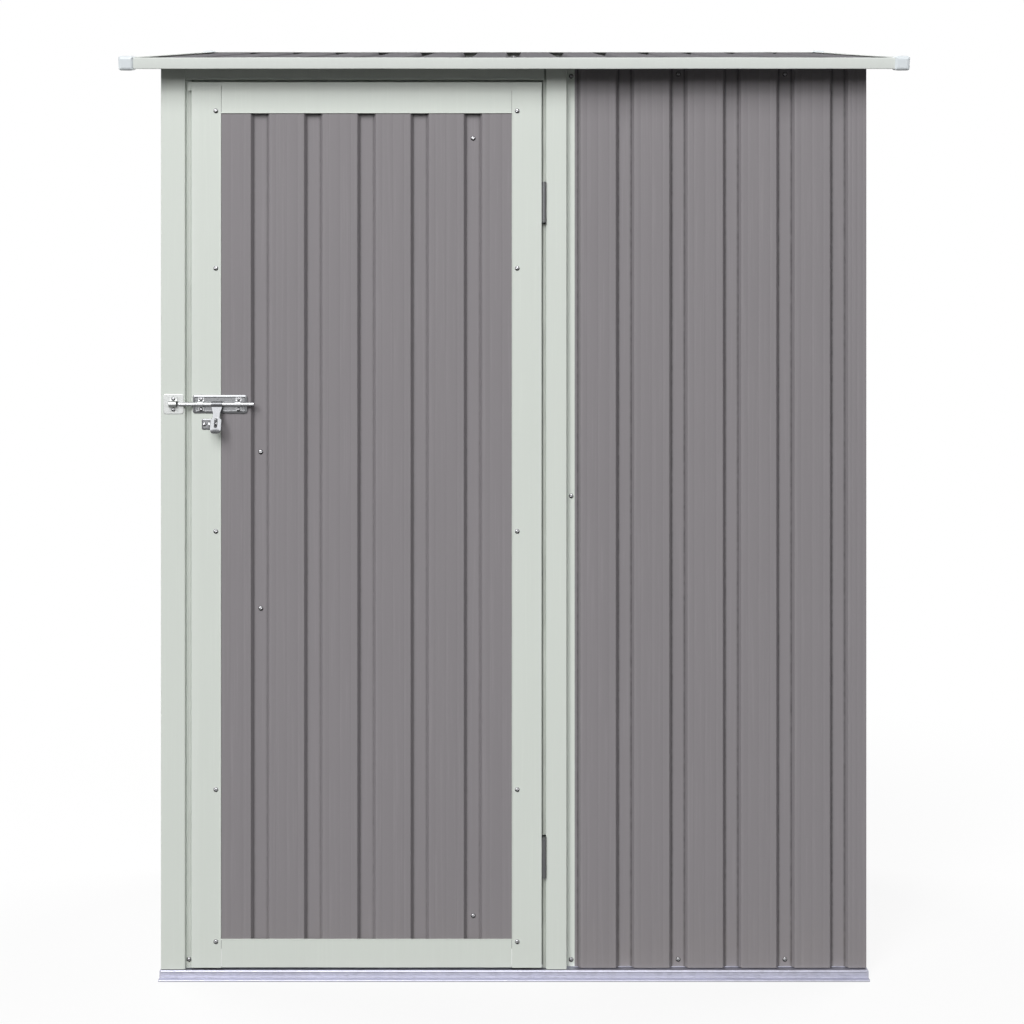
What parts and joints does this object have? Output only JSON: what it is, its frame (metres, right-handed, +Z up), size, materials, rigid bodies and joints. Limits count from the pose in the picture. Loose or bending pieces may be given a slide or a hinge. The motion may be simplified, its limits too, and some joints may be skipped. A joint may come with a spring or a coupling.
{
  "type": "metal storage shed",
  "caption": "Free-standing ribbed sheet-metal garden shed with a single-slope overhanging roof, a hinged front door and a sliding padlock bolt.",
  "frame": {"origin": "on the ground under the middle of the roof", "axes": "+X to the right seen from the door side, +Y to the back, +Z up"},
  "size_m": [1.43, 0.888, 1.8577],
  "materials": {
    "wall_paint": "satin grey coating on ribbed sheet",
    "roof_paint": "satin grey coating on ribbed sheet",
    "frame_paint": "satin cream-white coating on folded sheet",
    "galvanised": "galvanised, dull spangle",
    "bright_zinc": "bright zinc plating",
    "cap_plastic": "smooth white moulding"
  },
  "bodies": {
    "shed": {"front_wall": "wall_paint", "right_wall": "wall_paint", "left_wall": "wall_paint", "back_wall_left": "wall_paint", "back_wall_right": "wall_paint", "roof_sheet_left": "roof_paint", "roof_sheet_right": "roof_paint", "latch_post": "frame_paint", "hinge_post": "frame_paint", "door_header": "frame_paint", "roof_trim_front": "frame_paint", "roof_trim_back": "frame_paint", "roof_trim_left": "frame_paint", "roof_trim_right": "frame_paint", "base_rail_front": "galvanised", "base_rail_right": "galvanised", "base_rail_back": "galvanised", "base_rail_left": "galvanised", "corner_posts": "galvanised", "top_rail_front": "galvanised", "top_rail_back": "galvanised", "top_rail_left": "galvanised", "top_rail_right": "galvanised", "mid_rail_back": "galvanised", "mid_rail_left": "galvanised", "mid_rail_right": "galvanised", "roof_purlin": "galvanised", "frame_hinge_leaves": "bright_zinc", "bolt_keeper": "bright_zinc", "roof_corner_caps": "cap_plastic"},
    "door": {"door_latch_stile": "frame_paint", "door_hinge_stile": "frame_paint", "door_top_rail": "frame_paint", "door_bottom_rail": "frame_paint", "door_panel": "wall_paint", "door_upper_brace": "galvanised", "door_lower_brace": "galvanised", "door_hinge_leaves": "bright_zinc", "bolt_plate": "bright_zinc", "bolt_guides": "bright_zinc", "staple_plate": "bright_zinc", "staple_eye": "bright_zinc"},
    "bolt": {"bolt_rod": "bright_zinc"},
    "hasp": {"bolt_hasp": "bright_zinc"}
  },
  "joints": [
    {"name": "door_swing", "type": "hinge", "parent": "shed", "child": "door", "pos_m": [0.055, -0.384, 0.84], "axis": [0, 0, 1], "range_deg": [0, 170]},
    {"name": "bolt_slide", "type": "slide", "parent": "door", "child": "bolt", "axis": [1, 0, 0], "range_m": [-0.013, 0.017]},
    {"name": "hasp_turn", "type": "hinge", "parent": "bolt", "child": "hasp", "pos_m": [-0.545, -0.3885, 1.058], "axis": [-1, 0, 0], "range_deg": [-22, 110]}
  ]
}
